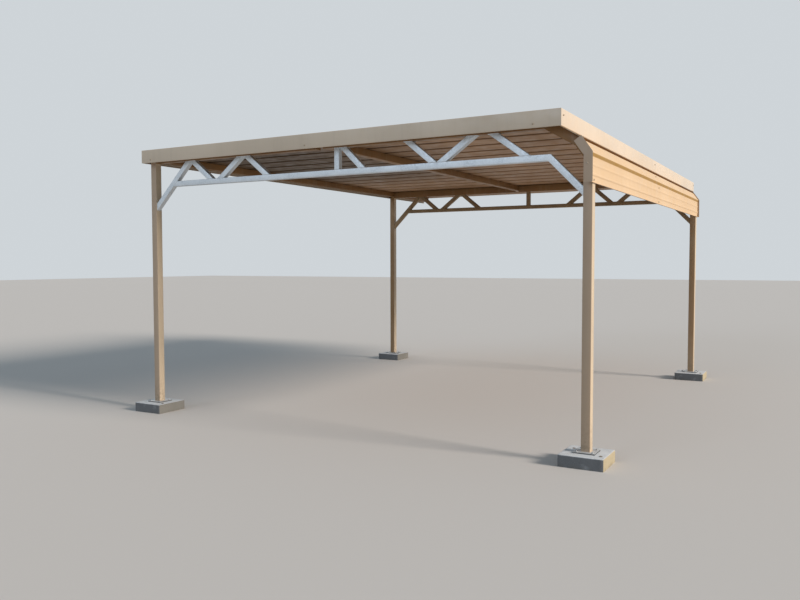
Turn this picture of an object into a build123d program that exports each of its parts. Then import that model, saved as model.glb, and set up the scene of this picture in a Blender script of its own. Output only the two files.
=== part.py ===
from build123d import *
import math
import os

# A single carport: four square steel posts on concrete footings carry a flat
# frame of beams, two light trusses and a ribbed roof with a fascia round it.
# A cranked ribbed panel closes the right eave down to the side rails.
# Millimetres. X runs to the right, Y to the back and Z up from the ground.

# Plan of the posts and of the roof above them
post_spacing_x = 4350
post_spacing_y = 4746
front_overhang = 97
back_overhang = 1087
right_eave_setback = 205

# Height above the ground, and what hangs below the beams, the chord and the crank
roof_top = 2585
chord_drop = 230
left_knee_drop = 212
right_knee_drop = 260
crank_drop = 224
panel_drop = 210

# Footings and base plates
footing_side = 340
footing_height = 90
footing_chamfer = 8
plate_side = 160
plate_thickness = 8

# Square tubes
tube = 70
tube_wall = 3
cross_beam_depth = 90
centre_beam_place = -170
head_stub = 40
truss_tube = 50
truss_wall = 2
rail_tube = 40
beam_end_room = 6

# Truss layout as shares of the clear span, each web as its foot and its head
knee_head_share = 0.099
bend_share = 0.94
left_web_shares = ((0.163, 0.110), (0.193, 0.249), (0.321, 0.267))
front_web_shares = ((0.559, 0.515), (0.715, 0.662), (0.732, 0.794), (0.896, 0.836))
back_web_shares = ((0.637, 0.690), (0.765, 0.715), (0.795, 0.848))

# Roof sheets and fascia
sheet_count = 6
ribs_per_sheet = 3
rib_height = 30
rib_base = 70
rib_crown = 36
roof_gauge = 1.0
fascia_height = 125
back_fascia_height = 42
fascia_gauge = 1.5
fascia_top_flange = 45
fascia_bottom_flange = 16
fascia_clearance = 4

# Cranked side panel and its end trims
panel_front_overhang = 87
panel_back_overhang = 47
panel_gauge = 1.0
panel_slant = 142
panel_lean = 55
panel_lip = 12
joggle_depth = 10
joggle_height = 20
panel_bead_drops = (80, 150)
panel_bead_depth = 6
panel_bead_base = 22
panel_bead_crown = 8
trim_gauge = 1.5
trim_width = 66
trim_proud = 12
rail_edge = 14

# Lines worked out from the sizes above
half = tube / 2
post_outer = post_spacing_x / 2 + half
post_inner = post_spacing_x / 2 - half
clear_span = 2 * post_inner
roof_left = -post_outer - fascia_clearance - fascia_bottom_flange
roof_right = post_outer - right_eave_setback
front_reach = max(half + front_overhang, footing_side / 2)
back_reach = max(half + back_overhang, footing_side / 2)
front_row = (back_reach - front_reach) / -2 - post_spacing_y / 2
back_row = front_row + post_spacing_y
roof_front = front_row - half - front_overhang
roof_back = back_row + half + back_overhang
roof_length = roof_back - roof_front
plate_top = footing_height + plate_thickness
beam_top = roof_top - fascia_gauge - rib_height - roof_gauge
beam_bottom = beam_top - tube
truss_top = beam_top - cross_beam_depth
fascia_bottom = roof_top - fascia_height
chord_level = beam_bottom - chord_drop
chord_top = chord_level + truss_tube / 2
crank_height = beam_bottom - crank_drop
panel_bottom = crank_height - panel_drop
kink_x = post_outer + joggle_depth

# The right heads lean in with the panel, then bend again to pass under the right
# fascia and reach the beams.
right_eave_face = roof_right - fascia_bottom_flange - fascia_clearance
lean_run = panel_slant * math.cos(math.radians(panel_lean))
lean_rise = panel_slant * math.sin(math.radians(panel_lean))
second_bend = (post_outer - lean_run, crank_height + lean_rise)
upper_slope = (fascia_bottom - second_bend[1]) / (second_bend[0] - right_eave_face)


def block(x_range, y_range, z_range):
    """Plain box between two limits on each axis."""
    size = [high - low for low, high in (x_range, y_range, z_range)]
    middle = [(high + low) / 2 for low, high in (x_range, y_range, z_range)]
    return Pos(*middle) * Box(*size)


def straight_tube(x_range, y_range, z_range, axis, wall=tube_wall):
    """Square tube along one axis, open at both ends."""
    ranges = {"x": x_range, "y": y_range, "z": z_range}
    hollow = {
        name: limits if name == axis else (limits[0] + wall, limits[1] - wall)
        for name, limits in ranges.items()
    }
    return block(x_range, y_range, z_range) - block(hollow["x"], hollow["y"], hollow["z"])


def prism_xz(points, y_low, y_high):
    """Solid with its outline in the X-Z plane, from y_low to y_high."""
    outline = make_face(Polyline(*[(x, y_low, z) for x, z in points], close=True))
    return extrude(outline, amount=y_high - y_low, dir=(0, 1, 0))


def prism_yz(points, x_low, x_high):
    """Solid with its outline in the Y-Z plane, from x_low to x_high."""
    outline = make_face(Polyline(*[(x_low, y, z) for y, z in points], close=True))
    return extrude(outline, amount=x_high - x_low, dir=(1, 0, 0))


def parallel(points, distance):
    """Line beside a bent line, on its left, with mitred corners."""
    count = len(points)
    steps = []
    for (ax, ay), (bx, by) in zip(points, points[1:]):
        length = math.hypot(bx - ax, by - ay)
        steps.append(((bx - ax) / length, (by - ay) / length))
    beside = []
    for index, (x, y) in enumerate(points):
        before = steps[max(index - 1, 0)]
        after = steps[min(index, count - 2)]
        nx, ny = -(before[1] + after[1]), before[0] + after[0]
        scale = distance * 2 / (nx * nx + ny * ny)
        beside.append((x + nx * scale, y + ny * scale))
    return beside


def band(points, thickness):
    """Outline of a bent strip: the given line and its parallel on the left."""
    return list(points) + parallel(points, thickness)[::-1]


def sloped_tube(foot, head, y_middle, keep, size=truss_tube, wall=truss_wall):
    """Square tube along a line in the X-Z plane, trimmed to the keep solid."""
    run, rise = head[0] - foot[0], head[1] - foot[1]
    length = math.hypot(run, rise) + 4 * size
    tilt = math.degrees(math.atan2(rise, run))
    bore = size - 2 * wall
    centre = ((foot[0] + head[0]) / 2, y_middle, (foot[1] + head[1]) / 2)
    bar = Box(length, size, size) - Box(length, bore, bore)
    return (Pos(*centre) * Rot(0, -tilt, 0) * bar) & keep


def at_span(share):
    """X of a point given as a share of the clear span from the left posts."""
    return -post_inner + share * clear_span


def footing(x, y):
    """Cast concrete block with its top edges eased."""
    reach = footing_side / 2
    cast = block((x - reach, x + reach), (y - reach, y + reach), (0, footing_height))
    return chamfer(cast.faces().sort_by(Axis.Z)[-1].edges(), footing_chamfer)


def base_plate(x, y):
    """Steel plate under a post, bolted down to the footing."""
    reach = plate_side / 2
    return block((x - reach, x + reach), (y - reach, y + reach), (footing_height, plate_top))


def post(x, y, top):
    """Square post standing on its base plate."""
    return straight_tube((x - half, x + half), (y - half, y + half), (plate_top, top), "z")


def post_head(y):
    """Head bent in twice, from a right post to the undersides of both beams."""
    overshoot = 2 * tube
    far_rise = beam_bottom + overshoot - second_bend[1]
    line = [
        (post_outer, crank_height - head_stub),
        (post_outer, crank_height),
        second_bend,
        (second_bend[0] - far_rise / upper_slope, second_bend[1] + far_rise),
    ]
    shell = prism_xz(band(line, tube), y - half, y + half)
    bore_line = parallel(line, tube_wall)
    bore_rows = (y - half + tube_wall, y + half - tube_wall)
    bore = prism_xz(band(bore_line, tube - 2 * tube_wall), *bore_rows)
    rows = (y - half, y + half)
    under_cross_beam = block((0, right_eave_face - tube), rows, (0, truss_top))
    under_eave_beam = block((right_eave_face - tube, post_outer), rows, (0, beam_bottom))
    return (shell - bore) & (under_cross_beam + under_eave_beam)


def cross_beam(y):
    """Deeper beam across the frame in two lengths, cut round the centre beam."""
    rows = (y - half, y + half)
    levels = (truss_top, beam_top)
    left_length = straight_tube((-post_inner, centre_beam_place - half), rows, levels, "x")
    right_length = straight_tube((centre_beam_place + half, right_eave_face - tube), rows, levels, "x")
    return left_length + right_length


def roof_beam(x_low, back_end):
    """Beam under the roof sheets, from the front fascia back to its given end."""
    rows = (roof_front + fascia_gauge, back_end)
    return straight_tube((x_low, x_low + tube), rows, (beam_bottom, beam_top), "y")


def webs(shares, start, end, y):
    """Sloping webs of a truss, each trimmed halfway to the next web or at the ends."""
    rows = (y - truss_tube, y + truss_tube)
    limits = [start]
    for web, following in zip(shares, shares[1:]):
        limits.append((max(web) + min(following)) / 2)
    limits.append(end)
    bars = []
    for (foot, head), low, high in zip(shares, limits, limits[1:]):
        bay = block((at_span(low), at_span(high)), rows, (chord_top, truss_top))
        bars.append(sloped_tube((at_span(foot), chord_top), (at_span(head), truss_top), y, bay))
    return Part() + bars


def truss(y, right_web_shares):
    """Light truss under a cross beam: a chord bent at its right, knees, strut and webs."""
    reach = truss_tube
    rows = (y - reach, y + reach)
    apex_share = (knee_head_share + left_web_shares[0][1]) / 2
    knee_foot = (-post_inner, chord_level - left_knee_drop)
    knee_head = (at_span(knee_head_share), truss_top)
    left_of_apex = block((-post_inner, at_span(apex_share)), rows, (0, truss_top))
    left_knee = sloped_tube(knee_foot, knee_head, y, left_of_apex)

    # The chord starts on the knee's right face and is mitred where it bends down.
    bend = (at_span(bend_share), chord_level)
    foot = (post_inner, chord_level - right_knee_drop)
    slope = math.atan2(foot[1] - bend[1], foot[0] - bend[0])
    across = (math.cos(slope / 2 + math.pi / 2), math.sin(slope / 2 + math.pi / 2))
    along = (math.cos(slope / 2), math.sin(slope / 2))
    far = clear_span
    mitre = [
        (bend[0] + across[0] * side - along[0] * back, bend[1] + across[1] * side - along[1] * back)
        for side, back in ((-far, 0), (far, 0), (far, 2 * far), (-far, 2 * far))
    ]
    left_of_bend = prism_xz(mitre, *rows)
    knee_run = knee_head[0] - knee_foot[0]
    knee_rise = knee_head[1] - knee_foot[1]
    knee_side = truss_tube / 2 / math.sin(math.atan2(knee_rise, knee_run))
    right_of_knee = prism_xz(
        [
            (knee_foot[0] + knee_side, knee_foot[1]),
            (knee_foot[0] + knee_side + far, knee_foot[1]),
            (knee_head[0] + knee_side + far, knee_head[1]),
            (knee_head[0] + knee_side, knee_head[1]),
        ],
        *rows,
    )
    knee_at_chord = knee_foot[0] + knee_run * left_knee_drop / knee_rise
    chord = sloped_tube((knee_at_chord, chord_level), bend, y, left_of_bend & right_of_knee)
    between_posts = block((-post_inner, post_inner), rows, (0, truss_top))
    right_knee = sloped_tube(bend, foot, y, between_posts - left_of_bend)

    bar = (-truss_tube / 2, truss_tube / 2)
    strut_rows = (y - truss_tube / 2, y + truss_tube / 2)
    strut = straight_tube(bar, strut_rows, (chord_top, truss_top), "z", truss_wall)
    strut_share = truss_tube / 2 / clear_span
    return {
        "left_knee": left_knee,
        "bottom_chord": chord,
        "right_knee": right_knee,
        "centre_strut": strut,
        "left_webs": webs(left_web_shares, apex_share, 1 / 2 - strut_share, y),
        "right_webs": webs(right_web_shares, 1 / 2 + strut_share, 1, y),
    }


def roof_sheet(index):
    """Ribbed sheet across the roof, with its ribs running from left to right."""
    cover = (roof_length - 2 * fascia_gauge) / sheet_count
    pitch = cover / ribs_per_sheet
    start = roof_front + fascia_gauge + index * cover
    crown_level = beam_top + rib_height
    line = [(start, beam_top)]
    for rib in range(ribs_per_sheet):
        middle = start + (2 * rib + 1) * pitch / 2
        line += [
            (middle - rib_base / 2, beam_top),
            (middle - rib_crown / 2, crown_level),
            (middle + rib_crown / 2, crown_level),
            (middle + rib_base / 2, beam_top),
        ]
    line.append((start + cover, beam_top))
    return prism_yz(band(line, roof_gauge), roof_left + fascia_gauge, roof_right - fascia_gauge)


def fascia(corner, far_corner, inward, line):
    """Folded fascia between two roof corners, mitred at both ends."""
    section = [
        (corner[0] + inward[0] * reach, corner[1] + inward[1] * reach, level)
        for reach, level in band(line, -fascia_gauge)
    ]
    run = (far_corner[0] - corner[0], far_corner[1] - corner[1])
    length = math.hypot(*run)
    along = (run[0] / length, run[1] / length)
    strip = extrude(make_face(Polyline(*section, close=True)), amount=length, dir=(*along, 0))
    depth = 2 * fascia_top_flange
    plan = [
        (corner[0], corner[1]),
        (far_corner[0], far_corner[1]),
        (far_corner[0] + (inward[0] - along[0]) * depth, far_corner[1] + (inward[1] - along[1]) * depth),
        (corner[0] + (inward[0] + along[0]) * depth, corner[1] + (inward[1] + along[1]) * depth),
    ]
    outline = make_face(Polyline(*[(x, y, fascia_bottom) for x, y in plan], close=True))
    return strip & extrude(outline, amount=fascia_height, dir=(0, 0, 1))


def slant_point(along, inward=0):
    """Point on the panel's leaning inner face, measured up from the kink."""
    c, s = math.cos(math.radians(panel_lean)), math.sin(math.radians(panel_lean))
    return (kink_x - along * c - inward * s, crank_height + along * s - inward * c)


def side_panel():
    """Ribbed panel outside the right posts, bent in over the heads to the fascia."""
    under_fascia = (
        roof_right - fascia_bottom_flange / 2,
        fascia_bottom - fascia_clearance - 2 * panel_gauge,
    )
    line = [(post_outer + panel_lip, panel_bottom), (post_outer, panel_bottom)]
    for drop in reversed(panel_bead_drops):
        middle = crank_height - drop
        crown = post_outer + panel_bead_depth
        line += [
            (post_outer, middle - panel_bead_base / 2),
            (crown, middle - panel_bead_crown / 2),
            (crown, middle + panel_bead_crown / 2),
            (post_outer, middle + panel_bead_base / 2),
        ]
    line += [
        (post_outer, crank_height - joggle_height),
        (kink_x, crank_height),
        slant_point(panel_slant),
        under_fascia,
    ]
    return prism_xz(band(line, -panel_gauge), panel_front, panel_back)


def end_trim(y_low):
    """Flat cranked trim that closes one end of the side panel and stands a little proud."""
    lean = math.radians(90 - panel_lean)
    rise = trim_proud * math.tan(lean / 2)
    line = [
        (kink_x + trim_proud, panel_bottom),
        (kink_x + trim_proud, crank_height + rise),
        slant_point(panel_slant, -trim_proud),
    ]
    return prism_xz(band(line, trim_width), y_low, y_low + trim_gauge)


def lower_side_rail():
    """Rail between the right posts behind the foot of the panel."""
    levels = (panel_bottom + rail_edge, panel_bottom + rail_edge + rail_tube)
    rows = (front_row + half, back_row - half)
    return straight_tube((post_outer - rail_tube, post_outer), rows, levels, "y", truss_wall)


def upper_side_rail():
    """Rail between the cranked heads behind the middle of the panel's leaning strip."""
    middle = slant_point(panel_slant / 2, rail_tube / 2)
    length = post_spacing_y - tube
    bore = rail_tube - 2 * truss_wall
    bar = Box(rail_tube, length, rail_tube) - Box(bore, length, bore)
    centre = Pos(middle[0], (front_row + back_row) / 2, middle[1])
    return centre * Rot(0, panel_lean, 0) * bar


panel_front = front_row - half - panel_front_overhang + trim_gauge
panel_back = back_row + half + panel_back_overhang - trim_gauge

nodes = {}
for side, x, top in (("left", -1, beam_bottom), ("right", 1, crank_height - head_stub)):
    for row, y in (("front", front_row), ("back", back_row)):
        place = x * post_spacing_x / 2
        nodes[f"{row}_{side}_footing"] = footing(place, y)
        nodes[f"{row}_{side}_base_plate"] = base_plate(place, y)
        nodes[f"{row}_{side}_post"] = post(place, y, top)
for row, y, shares in (("front", front_row, front_web_shares), ("back", back_row, back_web_shares)):
    nodes[f"{row}_right_post_head"] = post_head(y)
    nodes[f"{row}_cross_beam"] = cross_beam(y)
    for name, piece in truss(y, shares).items():
        nodes[f"{row}_truss_{name}"] = piece

# The centre beam ends at the back cross beam; the eave beams carry the roof's overhang.
eave_end = roof_back - fascia_gauge - beam_end_room
nodes["left_eave_beam"] = roof_beam(-post_outer, eave_end)
nodes["centre_beam"] = roof_beam(centre_beam_place - half, back_row + half)
nodes["right_eave_beam"] = roof_beam(right_eave_face - tube, eave_end)
for index in range(sheet_count):
    nodes[f"roof_sheet_{index + 1}"] = roof_sheet(index)

# The back fascia is a plain shallow angle; the others are deep, with a lower flange.
deep_line = [
    (fascia_bottom_flange, fascia_bottom),
    (0, fascia_bottom),
    (0, roof_top),
    (fascia_top_flange, roof_top),
]
shallow_line = [(0, roof_top - back_fascia_height), (0, roof_top), (fascia_top_flange, roof_top)]
front_left, front_right = (roof_left, roof_front), (roof_right, roof_front)
back_left, back_right = (roof_left, roof_back), (roof_right, roof_back)
nodes["front_fascia"] = fascia(front_left, front_right, (0, 1), deep_line)
nodes["right_fascia"] = fascia(front_right, back_right, (-1, 0), deep_line)
nodes["back_fascia"] = fascia(back_right, back_left, (0, -1), shallow_line)
nodes["left_fascia"] = fascia(back_left, front_left, (1, 0), deep_line)
nodes["side_panel"] = side_panel()
nodes["panel_front_trim"] = end_trim(panel_front - trim_gauge)
nodes["panel_back_trim"] = end_trim(panel_back)
nodes["lower_side_rail"] = lower_side_rail()
nodes["upper_side_rail"] = upper_side_rail()

os.makedirs("parts", exist_ok=True)
for name, piece in nodes.items():
    export_step(piece, f"parts/{name}.step")
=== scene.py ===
import bmesh
import bpy
import numpy as np
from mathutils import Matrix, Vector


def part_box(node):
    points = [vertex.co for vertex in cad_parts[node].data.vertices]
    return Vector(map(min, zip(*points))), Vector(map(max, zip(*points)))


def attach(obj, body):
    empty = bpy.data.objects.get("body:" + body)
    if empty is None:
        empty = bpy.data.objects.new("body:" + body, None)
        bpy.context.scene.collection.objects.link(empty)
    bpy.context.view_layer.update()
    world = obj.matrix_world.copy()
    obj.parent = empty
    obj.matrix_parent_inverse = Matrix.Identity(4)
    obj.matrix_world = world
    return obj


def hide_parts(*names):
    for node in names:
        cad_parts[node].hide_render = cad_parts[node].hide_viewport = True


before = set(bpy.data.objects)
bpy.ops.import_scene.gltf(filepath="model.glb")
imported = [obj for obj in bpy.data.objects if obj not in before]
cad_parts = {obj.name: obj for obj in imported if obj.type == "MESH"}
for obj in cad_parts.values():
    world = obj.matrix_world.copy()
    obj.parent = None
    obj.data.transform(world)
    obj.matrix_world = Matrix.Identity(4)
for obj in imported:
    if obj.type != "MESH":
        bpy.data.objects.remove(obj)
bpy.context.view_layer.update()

# Footings: four square blocks of cast concrete that stand on the ground, one under each
# post. They were cast in a box form, so the sides are pitted. Their upright sides are
# darker, partly with grime and partly with painted shade. The right ones' right sides get
# a warm sandy tone, partly dust and partly painted warm sunlight, and those of the left
# ones are painted dark, which is painted shade.
footing_names = ["front_left", "front_right", "back_left", "back_right"]
footing_edge = 0.007
footing_dent = 0.0012
corner_share = 0.06
damp_height = 0.030
concrete_pale = (0.66, 0.69, 0.71)
concrete_dark = (0.45, 0.47, 0.48)
# Painted shade darkens the upright sides, and the left footings' right sides too. The right
# footings' right sides get a warm tone, partly dust and partly painted sunlight.
side_grime_and_shade = (0.064, 0.068, 0.073)
damp_soil = (0.13, 0.115, 0.09)
right_side_warm_tone = (0.335, 0.255, 0.105)
right_side_painted_shade = (0.115, 0.105, 0.080)


class Finish:
    """A surface finish: a shader whose colour, gloss and relief come from noise that is
    laid out in the piece's own metres. Its patterns are shares that run from 0 to 1."""

    def __init__(self, name, roughness, metallic=0.0):
        self.material = bpy.data.materials.new(name)
        self.material.use_nodes = True
        self.nodes = self.material.node_tree.nodes
        self.links = self.material.node_tree.links
        self.shader = self.nodes["Principled BSDF"].inputs
        self.shader["Metallic"].default_value = metallic
        self.shader["Roughness"].default_value = roughness
        self.metres = self.nodes.new("ShaderNodeTexCoord").outputs["Object"]

    def join(self, source, socket):
        """Links a socket to its source, or sets it to a plain number or colour."""
        if isinstance(source, bpy.types.NodeSocket):
            self.links.new(source, socket)
        else:
            socket.default_value = source

    def spread(self, value, low, high, to_low=0.0, to_high=1.0):
        """Low to high becomes to_low to to_high, and what lies beyond is held there."""
        node = self.nodes.new("ShaderNodeMapRange")
        self.links.new(value, node.inputs["Value"])
        ends = {"From Min": low, "From Max": high, "To Min": to_low, "To Max": to_high}
        for socket, number in ends.items():
            node.inputs[socket].default_value = number
        return node.outputs["Result"]

    def grain(self, scale, low=0.35, high=0.65, stretch=(1, 1, 1)):
        """Cloudy noise with so many features a metre, drawn out where the stretch is small."""
        mapping = self.nodes.new("ShaderNodeMapping")
        mapping.inputs["Scale"].default_value = stretch
        self.links.new(self.metres, mapping.inputs["Vector"])
        node = self.nodes.new("ShaderNodeTexNoise")
        self.links.new(mapping.outputs["Vector"], node.inputs["Vector"])
        node.inputs["Scale"].default_value = scale
        node.inputs["Detail"].default_value = 3.0
        return self.spread(node.outputs["Fac"], low, high)

    def flakes(self, scale, low, high):
        """Cells of a Voronoi pattern, so many a metre, by the distance from their middles."""
        node = self.nodes.new("ShaderNodeTexVoronoi")
        self.links.new(self.metres, node.inputs["Vector"])
        node.inputs["Scale"].default_value = scale
        return self.spread(node.outputs["Distance"], low, high)

    def part(self, vector, axis, low, high):
        """One of a vector's three parts X, Y and Z, spread from low to high."""
        split = self.nodes.new("ShaderNodeSeparateXYZ")
        self.links.new(vector, split.inputs["Vector"])
        return self.spread(split.outputs[axis], low, high)

    def along(self, axis, low, high):
        """0 at one place on the axis X, Y or Z and 1 at another."""
        return self.part(self.metres, axis, low, high)

    def facing(self, axis, low, high):
        """How far the surface faces along one of the axes X, Y and Z."""
        return self.part(self.nodes.new("ShaderNodeNewGeometry").outputs["Normal"], axis, low, high)

    def combined(self, operation, first, second):
        """The two values, or a value and a plain number, put through one operation."""
        node = self.nodes.new("ShaderNodeMath")
        node.operation = operation
        self.join(first, node.inputs[0])
        self.join(second, node.inputs[1])
        return node.outputs["Value"]

    def times(self, share, *others):
        """Product of two or more shares."""
        for other in others:
            share = self.combined("MULTIPLY", share, other)
        return share

    def mixed(self, share, below, above):
        """Colour that goes from one to the other as the share goes from 0 to 1."""
        node = self.nodes.new("ShaderNodeMix")
        node.data_type = "RGBA"
        self.join(share, node.inputs[0])
        for socket, colour in ((node.inputs[6], below), (node.inputs[7], above)):
            plain = isinstance(colour, tuple)
            self.join((*colour, 1.0) if plain else colour, socket)
        return node.outputs[2]

    def relief(self, value, depth):
        """Bump of that depth in metres."""
        node = self.nodes.new("ShaderNodeBump")
        node.inputs["Strength"].default_value = 1.0
        node.inputs["Distance"].default_value = depth
        self.links.new(value, node.inputs["Height"])
        self.links.new(node.outputs["Normal"], self.shader["Normal"])


def piece(name, patches, finish, replaced=(), crease=0.6):
    """One object from patches, each its points and its faces, that rides on the frame.
    Edges that bend by more than the crease, in radians, stay sharp."""
    points, faces, count = [], [], 0
    for patch_points, patch_faces in patches:
        points.append(np.reshape(patch_points, (-1, 3)))
        faces += [[corner + count for corner in face] for face in patch_faces]
        count += len(points[-1])
    mesh = bpy.data.meshes.new(name)
    mesh.from_pydata(np.concatenate(points).tolist(), [], faces)
    work = bmesh.new()
    work.from_mesh(mesh)
    bmesh.ops.recalc_face_normals(work, faces=work.faces)
    work.to_mesh(mesh)
    work.free()
    mesh.shade_smooth()
    mesh.set_sharp_from_angle(angle=crease)
    mesh.materials.append(finish)
    made = bpy.data.objects.new(name, mesh)
    bpy.context.scene.collection.objects.link(made)
    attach(made, "root")
    if replaced:
        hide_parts(*replaced)


def closed_skin(rings):
    """Faces over a stack of closed rings of points: each ring is joined to the next one,
    its last point to its first, and a flat face fills the first ring and the last."""
    count, across = rings.shape[:2]
    here = np.arange(count * across).reshape(count, across)
    beside = np.roll(here, -1, axis=1)
    quads = np.stack([here[:-1], beside[:-1], beside[1:], here[1:]], axis=-1)
    return rings, quads.reshape(-1, 4).tolist() + [here[0, ::-1].tolist(), here[-1].tolist()]


def cast_dents(points):
    """Small dents, never outwards: a sum of sine waves in all three directions, two of
    them bent by slower ones, brought from its swing to between 0 and minus the depth."""
    x, y, z = points[..., 0], points[..., 1], points[..., 2]
    waves = np.sin(61 * x + 5 * np.sin(23 * y)) + np.sin(57 * y + 4 * np.sin(31 * x + 40 * z))
    waves = waves + 0.6 * np.sin(143 * x - 97 * y + 121 * z)
    swing = 5.2
    return footing_dent * (waves / swing - 0.5)


def cast_block(name):
    """A stack of square rings: in from the middle of the top to its edge, round the worn
    edge as a quarter circle, and down the side. Dents push every point inwards."""
    top_rings, edge_rings, side_rings, side_points = 14, 5, 7, 24
    first_reach = 0.02
    low, high = (np.array(corner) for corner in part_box(name))
    middle, half = (low + high) / 2, (high - low) / 2
    round_over = np.linspace(0, np.pi / 2, edge_rings + 1)[1:]
    reach = np.concatenate([
        np.linspace(first_reach, half[0] - footing_edge, top_rings),
        half[0] - footing_edge * (1 - np.sin(round_over)),
        np.full(side_rings, half[0]),
    ])[:, None, None]
    level = np.concatenate([
        np.full(top_rings, high[2]),
        high[2] - footing_edge * (1 - np.cos(round_over)),
        np.linspace(high[2] - footing_edge, low[2], side_rings + 1)[1:],
    ])[:, None]
    side = np.linspace(-1, 1, side_points + 1)[:-1]
    edge = np.ones(side_points)
    square = np.concatenate([
        np.stack([side, -edge], axis=1),
        np.stack([edge, side], axis=1),
        np.stack([-side, edge], axis=1),
        np.stack([-edge, -side], axis=1),
    ])
    inner = np.clip(square, corner_share - 1, 1 - corner_share)
    out = square - inner
    distance = np.linalg.norm(out, axis=1, keepdims=True)
    square = inner + corner_share * out / np.maximum(distance, 1e-9)
    rings = np.zeros((len(reach), len(square), 3))
    rings[..., :2] = middle[:2] + reach * square
    rings[..., 2] = level
    dent = cast_dents(rings)
    # Dents push sideways near the edge only, and the foot stays flat on the ground.
    near_edge = (reach / half[0]) ** 8
    above_ground = level > low[2] + 0.001
    rings[..., :2] += dent[..., None] * square * near_edge
    rings[..., 2] += dent * above_ground
    return closed_skin(rings[::-1])


def cast_concrete(name, right_tone, right_share):
    """Blotched grey cement with pale grit: upright sides darker, partly grime and partly
    painted shade, damp round the foot, and a tone of its own on the side that faces right,
    which paints the light or shade that falls on that side."""
    darkening_share, damp_share = 0.85, 0.7
    pit_depth = 0.0012
    concrete = Finish(name, roughness=0.9)
    blotches = concrete.mixed(concrete.grain(9), concrete_dark, concrete_pale)
    speckled = concrete.mixed(concrete.grain(160, 0.42, 0.60), concrete_pale, blotches)
    on_right = concrete.times(concrete.facing("X", 0.3, 0.8), right_share)
    toned = concrete.mixed(on_right, speckled, right_tone)
    # Upright sides, all but the right-facing ones, are darker: partly grime, partly painted shade.
    upright = concrete.times(concrete.facing("Z", 0.8, 0.2), concrete.facing("X", 0.8, 0.3))
    darkened = concrete.times(upright, concrete.grain(12, -0.3, 0.4), darkening_share)
    stained = concrete.mixed(darkened, toned, side_grime_and_shade)
    low_down = concrete.along("Z", damp_height, 0.0)
    damp_foot = concrete.times(low_down, concrete.grain(22, 0.4, 0.7), damp_share)
    concrete.join(concrete.mixed(damp_foot, stained, damp_soil), concrete.shader["Base Color"])
    pits = concrete.combined("ADD", concrete.flakes(90, 0.0, 0.16), concrete.grain(60, 0.2, 0.8))
    concrete.relief(pits, pit_depth)
    return concrete.material


# Right footings: a warm sandy tone on their right sides, partly dust and partly painted warm
# sunlight.
warm_sided_concrete = cast_concrete("warm_sided_concrete", right_side_warm_tone, right_share=0.8)
# Left footings: their right sides are painted dark, as painted shade.
shade_sided_concrete = cast_concrete("shade_sided_concrete", right_side_painted_shade, right_share=0.85)
for name in footing_names:
    node = f"{name}_footing"
    concrete = warm_sided_concrete if "right" in name else shade_sided_concrete
    piece(f"{name}_cast_footing", [cast_block(node)], concrete, [node])

# Base plates: square steel plates on the footings, each held by four anchor bolts with a
# washer and a low hexagon nut. Two steel pins through the block, on a diagonal, hold it to
# the ground, and only their rusty heads show. The plates' upright edges are painted dark,
# which is painted shade.
bolt_spacing = 0.120
bolt_levels = [0, 0.0016, 0.0016, 0.0062, 0.0068, 0.0068, 0.0084, 0.0090]
bolt_radii = [0.0100, 0.0100, 0.0082, 0.0082, 0.0070, 0.0042, 0.0040, 0.0026]
nut_rings = (2, 3)
pin_places = [(-0.112, 0.066), (0.128, -0.088)]
pin_levels = [0, 0.0045, 0.0058, 0.0062]
pin_radii = [0.0115, 0.0115, 0.0095, 0.0050]
pin_seat = 0.002
zinc_pale = (0.62, 0.65, 0.67)
zinc_dark = (0.46, 0.48, 0.50)
zinc_dust = (0.42, 0.37, 0.30)
edge_painted_shade = (0.06, 0.055, 0.05)
bolt_pale = (0.42, 0.44, 0.45)
bolt_dark = (0.27, 0.28, 0.29)
rust_pale = (0.10, 0.07, 0.05)
rust_dark = (0.05, 0.035, 0.028)


def zinc_finish(name, pale, dark, roughness, dustiness=1.0, edge_shade=0.0):
    """Galvanised steel: spangles of two tones of grey that differ in gloss too, with dust
    on what faces up and, where an edge share is given, painted shade on the upright faces."""
    zinc = Finish(name, roughness, metallic=0.55)
    spangle = zinc.flakes(110, 0.1, 0.75)
    colour = zinc.mixed(zinc.times(spangle, zinc.grain(7)), pale, dark)
    dusty = zinc.times(zinc.facing("Z", 0.5, 1.0), zinc.grain(14, 0.35, 0.7), dustiness)
    colour = zinc.mixed(dusty, colour, zinc_dust)
    # Painted shade on the upright faces.
    if edge_shade:
        darkened = zinc.times(zinc.facing("Z", 0.5, 0.1), edge_shade)
        colour = zinc.mixed(darkened, colour, edge_painted_shade)
    zinc.join(colour, zinc.shader["Base Color"])
    gloss = zinc.spread(spangle, 0.0, 1.0, roughness - 0.1, roughness + 0.12)
    zinc.join(gloss, zinc.shader["Roughness"])
    zinc.relief(zinc.grain(240), depth=0.0002)
    return zinc.material


def turned(place, levels, radii, hexagon=()):
    """A small part that is round about an upright axis: one ring for each level. The rings
    that are named as hexagon draw their odd points in to the middles of the flats."""
    sides = 12
    angle = np.linspace(0, 2 * np.pi, sides, endpoint=False)
    radius = np.repeat(np.array(radii)[:, None], sides, axis=1)
    for ring in hexagon:
        radius[ring, 1::2] *= np.cos(np.pi / 6)
    rings = np.zeros((len(levels), sides, 3))
    rings[..., 0] = place[0] + radius * np.cos(angle)
    rings[..., 1] = place[1] + radius * np.sin(angle)
    rings[..., 2] = place[2] + np.array(levels)[:, None]
    return closed_skin(rings)


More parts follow.
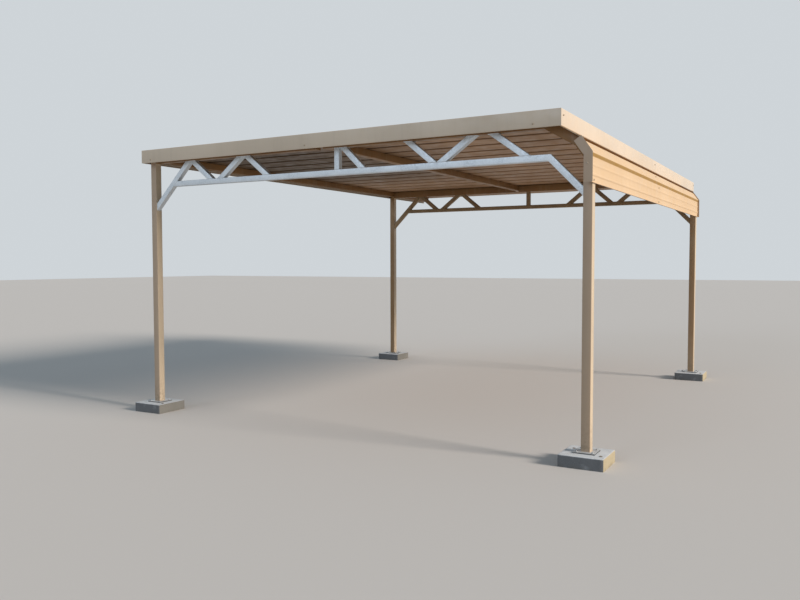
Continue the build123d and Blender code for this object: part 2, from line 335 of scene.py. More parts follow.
plate_zinc = zinc_finish(
    "plate_zinc", zinc_pale, zinc_dark, roughness=0.55, dustiness=0.15, edge_shade=0.85
)
bolt_zinc = zinc_finish("bolt_zinc", bolt_pale, bolt_dark, roughness=0.55, dustiness=0.3)
rusty = zinc_finish("rusty_pin", rust_pale, rust_dark, roughness=0.7)
anchor_bolts, ground_pins = [], []
for name in footing_names:
    node = f"{name}_base_plate"
    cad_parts[node].data.materials.clear()
    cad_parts[node].data.materials.append(plate_zinc)
    low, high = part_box(node)
    for side in (-1, 1):
        for row in (-1, 1):
            place = (
                (low.x + high.x + side * bolt_spacing) / 2,
                (low.y + high.y + row * bolt_spacing) / 2,
                high.z,
            )
            anchor_bolts.append(turned(place, bolt_levels, bolt_radii, nut_rings))
    for x, y in pin_places:
        place = ((low.x + high.x) / 2 + x, (low.y + high.y) / 2 + y, low.z - pin_seat)
        ground_pins.append(turned(place, pin_levels, pin_radii))
piece("anchor_bolts", anchor_bolts, bolt_zinc)
piece("ground_pins", ground_pins, rusty)

# Posts: square steel tubes with rounded corners, welded to the base plates and enamelled
# in light sandstone. Rain has left faint streaks, and mud has splashed the lowest part.
# Painted shade: their enamel is a darker copy of the fascias' sandstone, and each post's
# front and back faces carry a darker tone of their own.
tube_corner = 0.005
weld_radius = 0.0035
sandstone = (0.64, 0.535, 0.415)
sandstone_deep = (0.57, 0.473, 0.362)
# Painted shade: the posts' enamel is a darker copy of the fascias' sandstone.
post_shaded_sandstone = (0.57, 0.465, 0.330)
post_shaded_sandstone_deep = (0.52, 0.415, 0.290)
# Painted shade for each post, laid on its front and back faces.
post_painted_shade = {
    "front_left": (0.450, 0.335, 0.235),
    "front_right": (0.410, 0.300, 0.205),
    "back_left": (0.270, 0.150, 0.055),
    "back_right": (0.350, 0.215, 0.108),
}
dust = (0.42, 0.35, 0.26)
mud = (0.26, 0.19, 0.12)
mud_top = 0.34
mud_full = 0.10


def enamel(name, colour, deep, painted_shade=None, sheen=0.5):
    """Sprayed enamel: two close tones in large clouds, painted shade on the sides that face
    forwards and backwards where a shade tone is given, upright streaks of dust, a dusty
    upper side, mud low down and the fine ripple of sprayed paint."""
    roughness = 0.42
    streak_share, dust_share, mud_share = 0.16, 0.55, 0.6
    ripple_depth = 0.00015
    paint = Finish(name, roughness)
    clouds = paint.mixed(paint.grain(1.7, 0.3, 0.7), deep, colour)
    if painted_shade:
        # Painted shade on the faces that look forwards and backwards.
        sideways = paint.times(paint.facing("X", 0.9, 0.5), paint.facing("X", -0.9, -0.5))
        clouds = paint.mixed(paint.times(sideways, paint.grain(3, -0.6, 0.5)), clouds, painted_shade)
    streaks = paint.times(paint.grain(26, 0.52, 0.75, stretch=(1, 1, 0.06)), streak_share)
    streaked = paint.mixed(streaks, clouds, dust)
    facing_up = paint.facing("Z", 0.35, 1.0)
    settled = paint.times(facing_up, paint.grain(6, 0.3, 0.65), dust_share)
    dusty = paint.mixed(settled, streaked, dust)
    low_down = paint.along("Z", mud_top, mud_full)
    splash = paint.times(low_down, paint.grain(34, 0.40, 0.62), mud_share)
    paint.join(paint.mixed(splash, dusty, mud), paint.shader["Base Color"])
    gloss = paint.spread(paint.grain(11), 0.0, 1.0, roughness - 0.07, roughness + 0.14)
    paint.join(gloss, paint.shader["Roughness"])
    paint.shader["Specular IOR Level"].default_value = sheen
    paint.relief(paint.grain(420, 0.2, 0.8), ripple_depth)
    return paint.material


def unit(vector):
    """The vector's direction, with a length of 1."""
    vector = np.array(vector, float)
    return vector / np.linalg.norm(vector)


def carried(outline, path, first_cut=None, last_cut=None):
    """Rings of an outline that is carried along a path. From one ring to the next, each
    point slides along the path's leg until it meets the plane that halves the bend."""
    path = np.array(path, float)
    legs = [unit(leg) for leg in path[1:] - path[:-1]]
    cuts = [legs[0] if first_cut is None else unit(first_cut)]
    cuts += [unit(before + after) for before, after in zip(legs, legs[1:])]
    cuts += [legs[-1] if last_cut is None else unit(last_cut)]
    rings, ring = [], outline
    for place, cut, leg in zip(path, cuts, [legs[0], *legs]):
        ring = ring + leg * (((place - ring) @ cut) / (leg @ cut))[:, None]
        rings.append(ring)
    return closed_skin(np.array(rings))


def tube_outline(place, across, up, width, depth=None, corner=tube_corner):
    """Rounded rectangle round a point, in the plane of two directions: its sides run
    straight, and each corner is a quarter circle in four steps."""
    steps = 5
    half = np.array([width, width if depth is None else depth]) / 2
    turns = np.concatenate([np.linspace(0, np.pi / 2, steps) + k * np.pi / 2 for k in range(4)])
    corners = np.repeat([(1, 1), (-1, 1), (-1, -1), (1, -1)], steps, axis=0)
    ring = corners * (half - corner)
    ring = ring + corner * np.stack([np.cos(turns), np.sin(turns)], axis=1)
    return np.array(place) + ring[:, :1] * unit(across) + ring[:, 1:] * unit(up)


def weld_bead(place, across, up, out, half_across, half_up):
    """A bead round the foot of a tube: a small circle carried round a rounded rectangle,
    its radius swelling and falling in even ripples."""
    count, sides = 96, 6
    squareness = 0.14
    half_ripples = 24
    least_swell = 0.8
    turn = np.linspace(0, 2 * np.pi, count, endpoint=False)[:, None]
    x = half_across * np.sign(np.cos(turn)) * np.abs(np.cos(turn)) ** squareness
    y = half_up * np.sign(np.sin(turn)) * np.abs(np.sin(turn)) ** squareness
    away = np.concatenate([np.cos(turn), np.sin(turn)], axis=1)
    around = np.linspace(0, 2 * np.pi, sides, endpoint=False)
    ripples = np.abs(np.sin(half_ripples * turn))
    swell = weld_radius * (least_swell + (1 - least_swell) * ripples)
    flat = np.concatenate([x, y], axis=1)[:, None]
    flat = flat + (swell * np.cos(around))[..., None] * away[:, None]
    rise = swell * np.sin(around)
    points = np.array(place) + flat[..., :1] * across + flat[..., 1:] * up + rise[..., None] * out
    here = np.arange(count * sides).reshape(count, sides)
    beside, ahead = np.roll(here, -1, axis=1), np.roll(here, -1, axis=0)
    quads = np.stack([here, beside, np.roll(beside, -1, axis=0), ahead], axis=-1)
    return points, quads.reshape(-1, 4).tolist()


X, Y, Z = np.eye(3)
paint = enamel("sandstone_enamel", sandstone, sandstone_deep)
post_paint = {
    name: enamel(f"{name}_enamel", post_shaded_sandstone, post_shaded_sandstone_deep, painted_shade=tone)
    for name, tone in post_painted_shade.items()
}
left_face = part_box("front_left_post")[1].x
right_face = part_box("front_right_post")[0].x
tube = left_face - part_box("front_left_post")[0].x
foot_welds = []
for name in footing_names:
    low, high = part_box(f"{name}_post")
    foot = ((low.x + high.x) / 2, (low.y + high.y) / 2, low.z)
    outline = tube_outline(foot, X, Y, tube)
    rings = carried(outline, [foot, (foot[0], foot[1], high.z)])
    piece(f"{name}_square_post", [rings], post_paint[name], [f"{name}_post"])
    foot_welds.append(weld_bead(foot, X, Y, Z, tube / 2, tube / 2))
# The welds wear the front right post's enamel, painted shade included.
piece("post_foot_welds", foot_welds, post_paint["front_right"])

# Right post heads: the tops of the two right posts, cranked in twice and welded to the
# undersides of the beams, so that the roof edge sits inside the posts. They carry the
# same brown as the beams, which is painted shade under the roof.
# Painted shade: the brown stands for the shade under the roof.
beam_shade_brown = (0.275, 0.148, 0.056)
beam_shade_brown_deep = (0.210, 0.107, 0.040)
shade_brown_paint = enamel("shade_brown_enamel", beam_shade_brown, beam_shade_brown_deep, sheen=0.25)
panel_lean = np.radians(55)
panel_slant = 0.142
crank_drop = 0.224
fascia_flange = 0.016
flange_gap = 0.004
hair = 0.0004
beam_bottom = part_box("right_eave_beam")[0].z
fascia_low, fascia_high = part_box("right_fascia")
post_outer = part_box("front_right_post")[1].x
lean_up = np.array([-np.cos(panel_lean), np.sin(panel_lean)])
crank = np.array([post_outer, beam_bottom - crank_drop])
second_bend = crank + panel_slant * lean_up
flange_pass = np.array([fascia_high.x - fascia_flange - flange_gap, fascia_low.z])
upper_leg = unit(flange_pass - second_bend)
head_top = second_bend + upper_leg * (beam_bottom - second_bend[1]) / upper_leg[1]
for row in ("front", "back"):
    low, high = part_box(f"{row}_right_post_head")
    middle = (low.y + high.y) / 2
    path = [(post_outer, middle, low.z)]
    path += [(x, middle, z) for x, z in (crank, second_bend, head_top)]
    # A hair slimmer than the cross beam that its top runs into.
    outline = tube_outline((post_outer - tube / 2, middle, low.z), X, Y, tube, tube - hair)
    rings = carried(outline, path, last_cut=Z)
    piece(f"{row}_cranked_head", [rings], shade_brown_paint, [f"{row}_right_post_head"])

# Beams: enamelled steel tubes. Three square ones run along the roof under the sheets, and
# two deeper ones cross the frame over the trusses, in two lengths each. Their brown is
# painted shade under the roof, and the right eave beam's lighter brown is painted light.
beam_names = ["left_eave_beam", "centre_beam", "right_eave_beam"]
# Painted light: the right eave beam's brown is lighter where more light reaches it.
eave_lit_brown = (0.520, 0.385, 0.235)
eave_lit_brown_deep = (0.440, 0.320, 0.190)
eave_lit_paint = enamel("eave_lit_enamel", eave_lit_brown, eave_lit_brown_deep, sheen=0.25)
centre_low, centre_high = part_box("centre_beam")
for name in beam_names:
    low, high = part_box(name)
    start = ((low.x + high.x) / 2, low.y, (low.z + high.z) / 2)
    outline = tube_outline(start, X, Z, tube)
    rings = carried(outline, [start, (start[0], high.y, start[2])])
    coat = eave_lit_paint if name == "right_eave_beam" else shade_brown_paint
    piece(f"{name}_tube", [rings], coat, [name])
for row in ("front", "back"):
    low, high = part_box(f"{row}_cross_beam")
    middle = ((low.y + high.y) / 2, (low.z + high.z) / 2)
    lengths = []
    for first, last in ((low.x, centre_low.x), (centre_high.x, high.x)):
        outline = tube_outline((first, *middle), Y, Z, tube, high.z - low.z)
        lengths.append(carried(outline, [(first, *middle), (last, *middle)]))
    piece(f"{row}_cross_beam_tubes", lengths, shade_brown_paint, [f"{row}_cross_beam"])

# Beam plugs: black plastic caps pressed into the back ends of the three long beams. Their
# faces bulge a little and are rounded off at the rim. Each ring stands out from the beam's
# end by the first number and is slimmer than the beam by the second.
plug_rings = [(0.0, 0.0), (0.0020, 0.0), (0.0034, 0.004), (0.0040, 0.016)]
plastic_black = (0.02, 0.02, 0.02)
plastic_grey = (0.05, 0.048, 0.045)
plastic = Finish("black_plastic", roughness=0.5)
plastic_tone = plastic.mixed(plastic.grain(30), plastic_black, plastic_grey)
plastic.join(plastic_tone, plastic.shader["Base Color"])
plastic.relief(plastic.grain(500), depth=0.0002)
plugs = []
for name in beam_names:
    low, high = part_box(name)
    x, z = (low.x + high.x) / 2, (low.z + high.z) / 2
    rings = [tube_outline((x, high.y + out, z), X, Z, tube - less) for out, less in plug_rings]
    plugs.append(closed_skin(np.array(rings)))
piece("beam_end_plugs", plugs, plastic.material)

# Trusses: two light frames of galvanised square tube, welded up on the bench and hung
# under the cross beams. A chord runs from the left knee and bends down to the right post,
# and short webs join it to the beam. The back one is painted a dull brown grey, which is
# painted shade under the roof.
truss_tube = 0.050
truss_corner = 0.004
left_knee_drop = 0.212
right_knee_drop = 0.260
knee_head_share = 0.099
bend_share = 0.94
left_web_shares = [(0.163, 0.110), (0.193, 0.249), (0.321, 0.267)]
right_web_shares = {
    "front": [(0.559, 0.515), (0.715, 0.662), (0.732, 0.794), (0.896, 0.836)],
    "back": [(0.637, 0.690), (0.765, 0.715), (0.795, 0.848)],
}
bright_tones = ((0.71, 0.755, 0.79), (0.59, 0.64, 0.68))
# Painted shade: the back truss's brown grey.
back_shade_tones = ((0.34, 0.235, 0.135), (0.24, 0.165, 0.092))
truss_zinc = {
    "front": zinc_finish("bright_zinc", *bright_tones, roughness=0.5),
    "back": zinc_finish("back_shade_zinc", *back_shade_tones, roughness=0.6),
}
clear_span = right_face - left_face
truss_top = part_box("front_cross_beam")[0].z
half_tube = truss_tube / 2


def at_span(share):
    """Place from left to right, as a share of the clear width between the posts."""
    return left_face + share * clear_span


def truss_bar(start, end, first_cut, last_cut, size=truss_tube):
    """Square tube between two points of the truss plane, cut at both ends by planes."""
    leg = unit(np.array(end) - np.array(start))
    outline = tube_outline(start, np.cross(Y, leg), Y, size, corner=truss_corner)
    return carried(outline, [start, end], first_cut, last_cut)


for row in ("front", "back"):
    zinc = truss_zinc[row]
    low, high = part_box(f"{row}_truss_centre_strut")
    middle = (low.y + high.y) / 2
    chord_top = low.z
    chord_level = chord_top - half_tube
    knee_foot = (left_face, middle, chord_level - left_knee_drop)
    knee_head = (at_span(knee_head_share), middle, truss_top)
    knee = truss_bar(knee_foot, knee_head, X, Z)
    piece(f"{row}_left_knee_tube", [knee], zinc, [f"{row}_truss_left_knee"])

    bend = (at_span(bend_share), middle, chord_level)
    foot = (right_face, middle, chord_level - right_knee_drop)
    knee_leg = unit(np.array(knee_head) - np.array(knee_foot))
    meets_knee = np.array(knee_foot) + knee_leg * left_knee_drop / knee_leg[2]
    start = meets_knee + (half_tube / knee_leg[2], 0, 0)
    outline = tube_outline(start, Z, Y, truss_tube, corner=truss_corner)
    chord = carried(outline, [start, bend, foot], np.cross(Y, knee_leg), X)
    replaced = [f"{row}_truss_bottom_chord", f"{row}_truss_right_knee"]
    piece(f"{row}_chord_tube", [chord], zinc, replaced)

    strut = truss_bar((0, middle, chord_top), (0, middle, truss_top), Z, Z)
    replaced = [f"{row}_truss_centre_strut"]
    piece(f"{row}_strut_tube", [strut], zinc, replaced)
    strut_ends = [(0, middle, level) for level in (chord_top, truss_top)]
    welds = [weld_bead(place, X, Y, Z, half_tube, half_tube) for place in strut_ends]
    for side, shares in (("left", left_web_shares), ("right", right_web_shares[row])):
        bars = []
        for index, (foot_share, head_share) in enumerate(shares):
            first = (at_span(foot_share), middle, chord_top)
            last = (at_span(head_share), middle, truss_top)
            # Every second web is a hair slimmer, so that no two faces lie in one plane.
            slim = truss_tube - hair * (index % 2)
            bars.append(truss_bar(first, last, Z, Z, slim))
            reach = slim / 2 / unit(np.array(last) - np.array(first))[2]
            welds += [weld_bead(place, X, Y, Z, reach, slim / 2) for place in (first, last)]
        replaced = [f"{row}_truss_{side}_webs"]
        piece(f"{row}_{side}_web_tubes", bars, zinc, replaced)
    foot_leg = unit(np.array(foot) - np.array(bend))
    for place, leg in ((knee_foot, knee_leg), (foot, foot_leg)):
        welds.append(weld_bead(place, Z, Y, X, half_tube / leg[0], half_tube))
    piece(f"{row}_truss_welds", welds, zinc)

# Side rails: two light square tubes between the right posts, one behind the foot of the
# side panel and one between the leaning heads behind its upper strip.
rail_size = 0.040
rail_corner = 0.003
leaning = np.array([-np.cos(panel_lean), 0, np.sin(panel_lean)])
for row, across, up in (("lower", X, Z), ("upper", leaning, np.cross(Y, leaning))):
    low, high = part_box(f"{row}_side_rail")
    start = ((low.x + high.x) / 2, low.y, (low.z + high.z) / 2)
    outline = tube_outline(start, across, up, rail_size, corner=rail_corner)
    rings = carried(outline, [start, (start[0], high.y, start[2])])
    piece(f"{row}_rail_tube", [rings], paint, [f"{row}_side_rail"])

# Roof sheets: six ribbed steel sheets laid across the beams, enamelled on top. Their
# undersides are painted brown as painted shade, deeper in the grooves under the ribs and
# towards the front left, which is painted shade too. Their ribs run from left to right.
sheet_count = 6
ribs_per_sheet = 3
rib_base = 0.070
rib_crown = 0.036
rib_easing = 0.002
sheet_gauge = 0.001
sheet_stations = 41
pan_ripple = 0.0004
groove_shade_rises = (0.001, 0.012)
shade_across = (0.7, -0.8)
shade_forward = (1.0, -0.4)
# Painted shade: the brown of the sheets' undersides.
underside_shade_tone = (0.405, 0.240, 0.130)
underside_shade_tone_deep = (0.320, 0.185, 0.097)
groove_painted_shade = (0.024, 0.014, 0.008)
left_painted_shade = (0.100, 0.064, 0.036)
step_painted_shade = (0.335, 0.192, 0.049)


def rib_rise(y, pitch, rib_height):
    """Height of the sheet over its pans: a trapezoid at the middle of each pitch, which
    falls evenly from the edge of the crown to the edge of the base."""
    away = np.abs((y / pitch) % 1 - 0.5) * pitch
    return rib_height * np.clip((rib_base / 2 - away) / ((rib_base - rib_crown) / 2), 0, 1)


def sheet_stops(pitch):
    """Places across one pitch where the sheet's line bends or is rounded."""
    bends = np.repeat([rib_crown / 2, rib_base / 2], 2)
    one_side = bends + np.array([-rib_easing, rib_easing] * 2)
    return pitch / 2 + np.concatenate([-one_side[::-1], one_side])


def two_coats(name, axis, colour, deep, groove=None, step=None):
    """Ribbed sheet with enamel on the side that faces up an axis and a brown on the other,
    which is painted shade. The painted shade deepens from the low level of a groove to its
    high one and towards the front left, and painted shade dulls the enamel between the
    levels of a step."""
    dust_share, step_shade_share, darkening_share = 0.4, 0.95, 0.93
    fade_below, fade_above = 0.005, 0.004
    dent_depth = 0.0015
    coated = Finish(name, roughness=0.45)
    outside = coated.mixed(coated.grain(1.3, 0.3, 0.7), deep, colour)
    rain_dust = coated.grain(18, 0.45, 0.75, stretch=(0.08, 1, 1))
    settled = coated.times(rain_dust, coated.facing("Z", 0.35, 1.0), dust_share)
    outside = coated.mixed(settled, outside, dust)
    if step:
        # Painted shade on the joggle's band.
        low, high = step
        over = coated.along("Z", low - fade_below, low)
        under = coated.along("Z", high + fade_above, high)
        outside = coated.mixed(coated.times(over, under, step_shade_share), outside, step_painted_shade)
    underside_tone = coated.mixed(coated.grain(2.2), underside_shade_tone_deep, underside_shade_tone)
    if groove:
        # Painted shade deepens towards the front left of the underside.
        to_left = coated.along("X", *shade_across)
        to_front = coated.along("Y", *shade_forward)
        underside_tone = coated.mixed(coated.times(to_left, to_front, darkening_share), underside_tone, left_painted_shade)
        # Painted shade deepens up into the grooves.
        underside_tone = coated.mixed(coated.along("Z", *groove), underside_tone, groove_painted_shade)
    colour = coated.mixed(coated.facing(axis, 0.01, -0.01), outside, underside_tone)
    coated.join(colour, coated.shader["Base Color"])
    coated.join(coated.spread(coated.grain(9), 0, 1, 0.38, 0.6), coated.shader["Roughness"])
    coated.shader["Specular IOR Level"].default_value = 0.15
    coated.relief(coated.grain(5, 0.2, 0.8, stretch=(0.4, 1, 1)), dent_depth)
    return coated.material


sheet_low, sheet_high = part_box("roof_sheet_1")
groove_shade_levels = [sheet_low.z + rise for rise in groove_shade_rises]
sheet_paint = two_coats("roof_sheet_coats", "Z", sandstone, sandstone_deep, groove=groove_shade_levels)
rib_lines = []
for index in range(sheet_count):
    node = f"roof_sheet_{index + 1}"
    low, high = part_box(node)
    pitch = (high.y - low.y) / ribs_per_sheet
    rib_lines += [low.y + (rib + 0.5) * pitch for rib in range(ribs_per_sheet)]
    stops = [rib * pitch + sheet_stops(pitch) for rib in range(ribs_per_sheet)]
    across = np.concatenate([[0.0], *stops, [high.y - low.y]])
    along = np.linspace(low.x, high.x, sheet_stations)[:, None]
    under = low.z + rib_rise(across, pitch, high.z - low.z - sheet_gauge)
    # The pans ripple a little between the beams, as thin sheet does.
    ripple = pan_ripple * np.abs(np.sin(7 * along + 9 * across + index))
    under = under + ripple * (under - low.z < sheet_gauge)
    ring_y = np.concatenate([across, across[::-1]]) + low.y
    ring_z = np.concatenate([under, under[:, ::-1] + sheet_gauge], axis=1)
    rings = np.stack(np.broadcast_arrays(along, ring_y, ring_z), axis=-1)
    patches = [closed_skin(rings)]
    piece(f"ribbed_sheet_{index + 1}", patches, sheet_paint, [node], crease=0.5)

# Roof screws: small zinc-plated screws with a hexagon head and a washer. They go down
# through the crown of each rib over the eave beams, and over the centre beam up to its end.
screw_levels = np.array([0, 0.0012, 0.0022, 0.0022, 0.0062, 0.0070])
screw_radii = np.array([0.0080, 0.0080, 0.0066, 0.0050, 0.0050, 0.0040])
head_rings = (3, 4)
roof_screw_size = 0.2
roof_screw_sink = 0.0002
roof_screw_inset = 0.075
screw_zinc_pale = (0.40, 0.36, 0.31)
screw_zinc_dark = (0.24, 0.21, 0.18)


def screws(places, out, size=1.0):
    """Hexagon screws with a washer: rings of one small turned part, copied to each place
    and turned to point outwards."""
    points, faces = turned((0, 0, 0), screw_levels * size, screw_radii * size, head_rings)
    out = unit(out)
    side = unit(np.cross(out, Y if abs(out[1]) < 0.9 else X))
    turn = np.stack([side, np.cross(out, side), out])
    return [(points @ turn + np.array(place), faces) for place in places]


screw_zinc = zinc_finish("screw_zinc", screw_zinc_pale, screw_zinc_dark, roughness=0.5)
roof_screws = []
for y in rib_lines:
    rows = [sheet_low.x + roof_screw_inset, sheet_high.x - roof_screw_inset]
    if y < centre_high.y:
        rows.append((centre_low.x + centre_high.x) / 2)
    roof_screws += [(x, y, sheet_high.z - roof_screw_sink) for x in rows]
roof_screws = screws(roof_screws, Z, roof_screw_size)
piece("roof_screws", roof_screws, screw_zinc)

# Fascias: strips folded from painted steel, hemmed over the sheet ends and mitred at the
# corners. The back one is a shallow angle; the other three have a lower flange.
fold_radius = 0.004
fascia_gauge = 0.0015
top_flange = 0.045


def eased(points, radius, steps=4):
    """Line with soft bends: each inner corner becomes a short parabola that starts and
    ends one radius from it and leans on the corner itself."""
    points = [np.array(point, float) for point in points]
    line = [points[0][None]]
    t = np.linspace(0, 1, steps)[:, None]
    for before, corner, after in zip(points, points[1:], points[2:]):
        start = corner + unit(before - corner) * radius
        end = corner + unit(after - corner) * radius
        line.append((1 - t) ** 2 * start + 2 * t * (1 - t) * corner + t**2 * end)
    return np.concatenate([*line, points[-1][None]])


def strip_outline(line, gauge):
    """Closed outline of a thin strip: the line, and back along the line moved by its own
    normals, which are the mean of the two sides' at each point."""
    steps = np.diff(line, axis=0)
    steps /= np.linalg.norm(steps, axis=1, keepdims=True)
    mean = np.concatenate([steps[:1], steps[:-1] + steps[1:], steps[-1:]])
    mean /= np.linalg.norm(mean, axis=1, keepdims=True)
    normal = np.stack([-mean[:, 1], mean[:, 0]], axis=1)
    return np.concatenate([line, (line + gauge * normal)[::-1]])


roof_low = np.array([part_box("left_fascia")[0].x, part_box("front_fascia")[0].y])
roof_high = np.array([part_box("right_fascia")[1].x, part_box("back_fascia")[1].y])
back_low, back_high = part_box("back_fascia")
sides = {
    "front": ((roof_low[0], roof_low[1]), (roof_high[0], roof_low[1]), (0, 1)),
    "right": ((roof_high[0], roof_low[1]), (roof_high[0], roof_high[1]), (-1, 0)),
    "back": ((roof_high[0], roof_high[1]), (roof_low[0], roof_high[1]), (0, -1)),
    "left": ((roof_low[0], roof_high[1]), (roof_low[0], roof_low[1]), (1, 0)),
}
for side, (corner, far_corner, inward) in sides.items():
    top, bottom = fascia_high.z, fascia_low.z
    line = [(fascia_flange, bottom), (0, bottom), (0, top), (top_flange, top)]
    if side == "back":
        line = [(0, top - (back_high.z - back_low.z)), (0, top), (top_flange, top)]
    section = strip_outline(eased(line, fold_radius), -fascia_gauge)
    start, end = np.array([*corner, 0.0]), np.array([*far_corner, 0.0])
    inside, run = np.array([*inward, 0.0]), unit(end - start)
    outline = start + section[:, :1] * inside + section[:, 1:] * Z
    rings = carried(outline, [start, end], run - inside, run + inside)
    piece(f"{side}_folded_fascia", [rings], paint, [f"{side}_fascia"])

# Side panel: a ribbed sheet that closes the right eave, screwed to the rails behind it. It
# stands on the posts' outer faces, steps out in a joggle at the crank and leans in over
# the heads to the fascia. The joggle's band is darkened with painted shade, and the inner
# face carries the brown painted shade of the sheets' undersides.
panel_gauge = 0.001
panel_fold = 0.003
fold_steps = 3
panel_lip = 0.012
joggle_depth = 0.010
joggle_height = 0.020
beads = [(0.080, 0.003), (0.150, 0.005)]
bead_base = 0.022
bead_crown = 0.008
panel_tan = (0.630, 0.460, 0.288)
panel_tan_deep = (0.580, 0.412, 0.246)


def front_to_back(section, first, last):
    """Skin of a section in x and z that is carried straight back from one y to another."""
    outline = np.stack([section[:, 0], np.full(len(section), first), section[:, 1]], axis=1)
    return carried(outline, [(0, first, 0), (0, last, 0)])


panel_low, panel_high = (np.array(corner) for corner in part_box("side_panel"))
kink = np.array([post_outer + joggle_depth, crank[1]])
lean_out = np.array([np.sin(panel_lean), np.cos(panel_lean)])
upper_bend = kink + panel_slant * lean_up
panel_head = np.array([panel_low[0], panel_high[2] - panel_gauge])
panel_line = [(post_outer + panel_lip, panel_low[2]), (post_outer, panel_low[2])]
for drop, depth in reversed(beads):
    panel_line += [
        (post_outer, crank[1] - drop - bead_base / 2),
        (post_outer + depth, crank[1] - drop - bead_crown / 2),
        (post_outer + depth, crank[1] - drop + bead_crown / 2),
        (post_outer, crank[1] - drop + bead_base / 2),
    ]
panel_line += [(post_outer, crank[1] - joggle_height), kink, upper_bend, panel_head]
section = strip_outline(eased(panel_line, panel_fold, fold_steps), -panel_gauge)
rings = front_to_back(section, panel_low[1], panel_high[1])
step_levels = (crank[1] - joggle_height, crank[1])
panel_coats = two_coats("side_panel_coats", "X", panel_tan, panel_tan_deep, step=step_levels)
piece("ribbed_side_panel", [rings], panel_coats, ["side_panel"])

# Edge strip: a thin dull strip laid over the panel's upper bend from end to end, as thin
# as a tape. Its dark brown is painted shade, standing for the shadow gap under the fascia.
shade_strip_reach = 0.032
shade_strip_gauge = 0.0015
shade_strip_lift = 1.3 * panel_gauge
# Painted shade: the strip's dark brown tones.
shade_strip_dark = (0.075, 0.026, 0.0015)
shade_strip_pale = (0.105, 0.038, 0.002)
shade_strip = Finish("edge_shade_strip", roughness=0.75)
shade_strip_tone = shade_strip.mixed(shade_strip.grain(20), shade_strip_dark, shade_strip_pale)
shade_strip.join(shade_strip_tone, shade_strip.shader["Base Color"])
shade_strip.shader["Specular IOR Level"].default_value = 0.05
shade_strip.relief(shade_strip.grain(300), depth=0.0003)
to_fascia = unit(panel_head - upper_bend)
shade_strip_line = np.array([-shade_strip_reach * lean_up, (0, 0), shade_strip_reach * to_fascia])
shade_strip_line = eased(upper_bend + shade_strip_lift * lean_out + shade_strip_line, panel_fold, fold_steps)
rings = front_to_back(strip_outline(shade_strip_line, -shade_strip_gauge), panel_low[1], panel_high[1])
piece("panel_edge_shade_strip", [rings], shade_strip.material)

# Panel trims: flat strips cut from painted steel sheet to the panel's cranked shape. One
# is screwed over each end of the panel and hides its edge. They wear the front right
# post's enamel, with its painted shade on the faces that look forwards and backwards.
trim_width = 0.066
trim_proud = 0.012
trim_rise = trim_proud * np.tan((np.pi / 2 - panel_lean) / 2)
trim_line = eased([
    (kink[0] + trim_proud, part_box("panel_front_trim")[0].z),
    (kink[0] + trim_proud, kink[1] + trim_rise),
    upper_bend + trim_proud * lean_out,
], panel_fold, fold_steps)
for end in ("front", "back"):
    low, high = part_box(f"panel_{end}_trim")
    rings = front_to_back(strip_outline(trim_line, trim_width), low.y, high.y)
    # The front right post's enamel, painted shade included.
    trim_paint = post_paint["front_right"]
    piece(f"{end}_panel_trim", [rings], trim_paint, [f"panel_{end}_trim"])

# Sheet screws: painted hexagon screws with a washer. They hold the fascias at their
# corners and middles, the side panel to its rails and the front trim to its post.
screw_tan = (0.42, 0.345, 0.255)
screw_tan_deep = (0.34, 0.275, 0.20)
screw_paint = enamel("screw_enamel", screw_tan, screw_tan_deep)
front_screw_rise = 0.028
front_screw_rows = [roof_high[0] - 0.213, roof_high[0] - 2.263, roof_low[0] + 0.12]
right_screw_drop = 0.045
right_screw_rows = [roof_low[1] + 0.05, 0.335, roof_high[1] - 0.05]
panel_screw_rise = 0.023
panel_last_row = panel_high[1] - 0.030
panel_middle = (panel_low[1] + 0.015 + panel_last_row) / 2
panel_screw_rows = [panel_low[1] + 0.105, panel_middle, panel_last_row]
middle_screw_drop = 0.050
trim_screw_drop = 0.076
trim_screw_inset = 0.6 * trim_width
front_screws = [(x, roof_low[1], fascia_low.z + front_screw_rise) for x in front_screw_rows]
right_screws = [(roof_high[0], y, fascia_high.z - right_screw_drop) for y in right_screw_rows]
panel_face = post_outer + panel_gauge
panel_screws = [(panel_face, y, panel_low[2] + panel_screw_rise) for y in panel_screw_rows]
panel_screws.append((panel_face, panel_middle, crank[1] - middle_screw_drop))
trim_x = kink[0] + trim_proud - trim_screw_inset
trim_screws = [(trim_x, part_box("panel_front_trim")[0].y, crank[1] - trim_screw_drop)]
strip_x, strip_z = (kink + upper_bend) / 2 + panel_gauge * lean_out
strip_screws = [(strip_x, panel_middle, strip_z)]
all_screws = screws(front_screws, -Y) + screws(right_screws + panel_screws, X)
all_screws += screws(trim_screws, -Y) + screws(strip_screws, (lean_out[0], 0, lean_out[1]))
piece("sheet_metal_screws", all_screws, screw_paint)

# Floor, light and camera: a plain pale floor under two soft lamps and a soft sky, seen
# from the front right at eye height.
floor_reach = 60
floor_colour = (0.60, 0.577, 0.548, 1.0)
floor_corners = [(-floor_reach, -floor_reach, 0), (floor_reach, -floor_reach, 0)]
floor_corners += [(floor_reach, floor_reach, 0), (-floor_reach, floor_reach, 0)]
floor_mesh = bpy.data.meshes.new("floor")
floor_mesh.from_pydata(floor_corners, [], [(0, 1, 2, 3)])
floor = bpy.data.objects.new("floor", floor_mesh)
bpy.context.scene.collection.objects.link(floor)
floor_finish = Finish("pale_floor", roughness=0.9)
floor_finish.join(floor_colour, floor_finish.shader["Base Color"])
floor_mesh.materials.append(floor_finish.material)


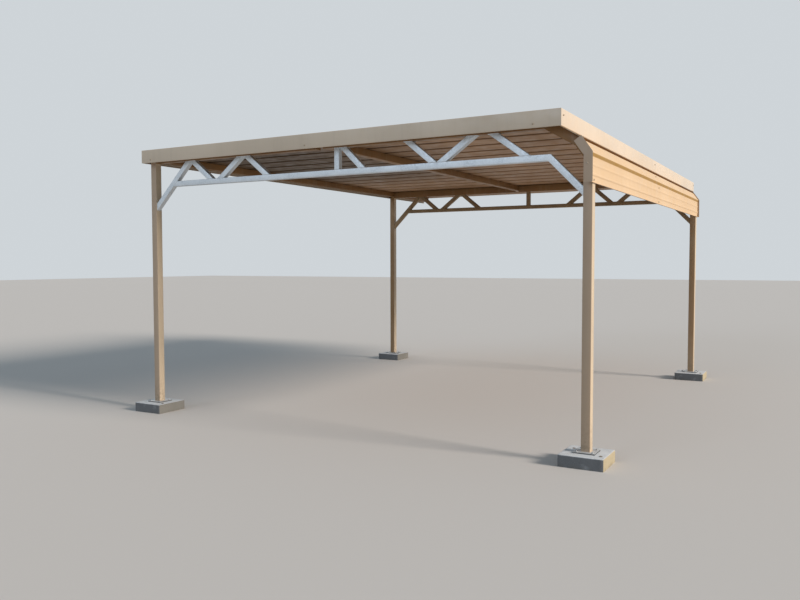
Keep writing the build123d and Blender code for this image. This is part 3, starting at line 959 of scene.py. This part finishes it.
def lamp(name, place, width, strength, colour):
    """Soft distant lamp that shines from a place towards the carport. Its width is the
    angle that it fills, so the whole floor gets the same light."""
    light = bpy.data.lights.new(name, "SUN")
    light.angle = width
    light.energy = strength
    light.color = colour
    made = bpy.data.objects.new(name, light)
    bpy.context.scene.collection.objects.link(made)
    made.location = place
    yaw = np.arctan2(place[0], -place[1])
    tilt = np.arctan2(np.hypot(place[0], place[1]), place[2])
    made.rotation_euler = (tilt, 0, yaw)


lamp("key", (29, -0.2, 12.5), width=0.25, strength=4.05, colour=(1.0, 0.90, 0.815))
lamp("fill", (-8, -26, 10.5), width=0.40, strength=0.455, colour=(0.66, 0.80, 1.0))

sky_colour = (0.72, 0.87, 1.0, 1.0)
sky_strength = 0.33
backdrop_colour = (0.62, 0.66, 0.69, 1.0)
world = bpy.data.worlds.new("soft_sky")
bpy.context.scene.world = world
world.use_nodes = True
sky = world.node_tree.nodes
sky_links = world.node_tree.links
background = sky["Background"]
background.inputs["Color"].default_value = sky_colour
background.inputs["Strength"].default_value = sky_strength
backdrop = sky.new("ShaderNodeBackground")
backdrop.inputs["Color"].default_value = backdrop_colour
backdrop.inputs["Strength"].default_value = 1.0
seen = sky.new("ShaderNodeLightPath")
any_ray = seen.outputs["Is Camera Ray"]
for kind in ("Is Glossy Ray", "Is Transmission Ray"):
    either = sky.new("ShaderNodeMath")
    either.operation = "MAXIMUM"
    sky_links.new(any_ray, either.inputs[0])
    sky_links.new(seen.outputs[kind], either.inputs[1])
    any_ray = either.outputs["Value"]
shown = sky.new("ShaderNodeMixShader")
sky_links.new(any_ray, shown.inputs["Fac"])
sky_links.new(background.outputs["Background"], shown.inputs[1])
sky_links.new(backdrop.outputs["Background"], shown.inputs[2])
sky_links.new(shown.outputs["Shader"], sky["World Output"].inputs["Surface"])

picture_width = 800
focal_pixels = 770.5
film_width = 36
far_limit = 200
eye = (3.722, -8.397, 1.480)
look_down = 0.0484
look_left = 0.5116
roll = 0.0018
camera_data = bpy.data.cameras.new("camera")
camera = bpy.data.objects.new("camera", camera_data)
bpy.context.scene.collection.objects.link(camera)
bpy.context.scene.camera = camera
camera_data.sensor_width = film_width
camera_data.lens = focal_pixels / picture_width * film_width
camera_data.clip_end = far_limit
camera.location = eye
camera.rotation_euler = (np.pi / 2 - look_down, roll, look_left)
bpy.context.scene.view_settings.view_transform = "Standard"
